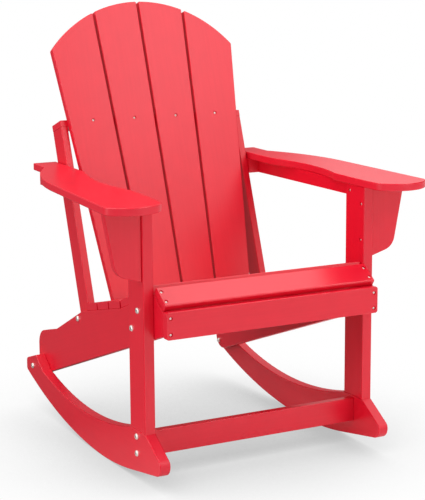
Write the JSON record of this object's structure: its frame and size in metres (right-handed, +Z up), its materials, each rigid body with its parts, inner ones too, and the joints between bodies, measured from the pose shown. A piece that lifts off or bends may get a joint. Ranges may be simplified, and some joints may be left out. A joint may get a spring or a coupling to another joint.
{
  "type": "rocking adirondack chair",
  "caption": "Rocking adirondack chair in red solid plastic boards: fanned arched back, scooped slatted seat, broad tapered arms on brackets, curved rockers.",
  "frame": {"origin": "on the floor in the middle of the chair's width and of its depth, with the lowest line of both rockers at Z 0", "axes": "+Z up, +X to the sitter's left hand, the sitter faces -Y"},
  "size_m": [0.7946, 0.7954, 1.0174],
  "materials": {
    "frame_boards": "Extruded high-density polyethylene lumber, red through, satin with a fine drawn grain",
    "back_boards": "Extruded high-density polyethylene lumber, red through, satin with a fine drawn grain",
    "seat_boards": "Extruded high-density polyethylene lumber, red through, satin with a fine drawn grain",
    "arm_boards": "Extruded high-density polyethylene lumber, red through, satin with a fine drawn grain",
    "fastener_steel": "Stainless steel, plain turned and rolled",
    "dowel_steel": "Plain stainless steel rod, hidden in the boards"
  },
  "bodies": {
    "root": {"apron_screws": "fastener_steel", "arm_bracket_left": "frame_boards", "arm_bracket_right": "frame_boards", "arm_left": "arm_boards", "arm_rail_screws": "fastener_steel", "arm_right": "arm_boards", "arm_screws": "fastener_steel", "arm_side_rail_left": "frame_boards", "arm_side_rail_right": "frame_boards", "arm_spacer_block_left": "frame_boards", "arm_spacer_block_right": "frame_boards", "back_slat_inner_left": "back_boards", "back_slat_inner_right": "back_boards", "back_slat_lower_screws": "fastener_steel", "back_slat_outer_left": "back_boards", "back_slat_outer_right": "back_boards", "back_slat_upper_screws": "fastener_steel", "bracket_screws": "fastener_steel", "front_apron": "seat_boards", "front_leg_left": "frame_boards", "front_leg_right": "frame_boards", "front_stretcher": "frame_boards", "leg_bolt_nuts": "fastener_steel", "leg_bolts": "fastener_steel", "leg_dowels": "dowel_steel", "lower_back_rail": "frame_boards", "lower_rail_screws": "fastener_steel", "post_bolt_nuts": "fastener_steel", "post_bolts": "fastener_steel", "rear_post_left": "frame_boards", "rear_post_right": "frame_boards", "rocker_left": "frame_boards", "rocker_right": "frame_boards", "rocker_tail_bolts": "fastener_steel", "rocker_tail_nuts": "fastener_steel", "seat_side_rail_left": "frame_boards", "seat_side_rail_right": "frame_boards", "seat_slat_2": "seat_boards", "seat_slat_3": "seat_boards", "seat_slat_4": "seat_boards", "seat_slat_5": "seat_boards", "seat_slat_6": "seat_boards", "seat_slat_7": "seat_boards", "seat_slat_front": "seat_boards", "seat_slat_screws": "fastener_steel", "spacer_screws": "fastener_steel", "stretcher_bolts": "fastener_steel", "upper_back_rail": "frame_boards", "upper_rail_screws": "fastener_steel"}
  },
  "joints": []
}
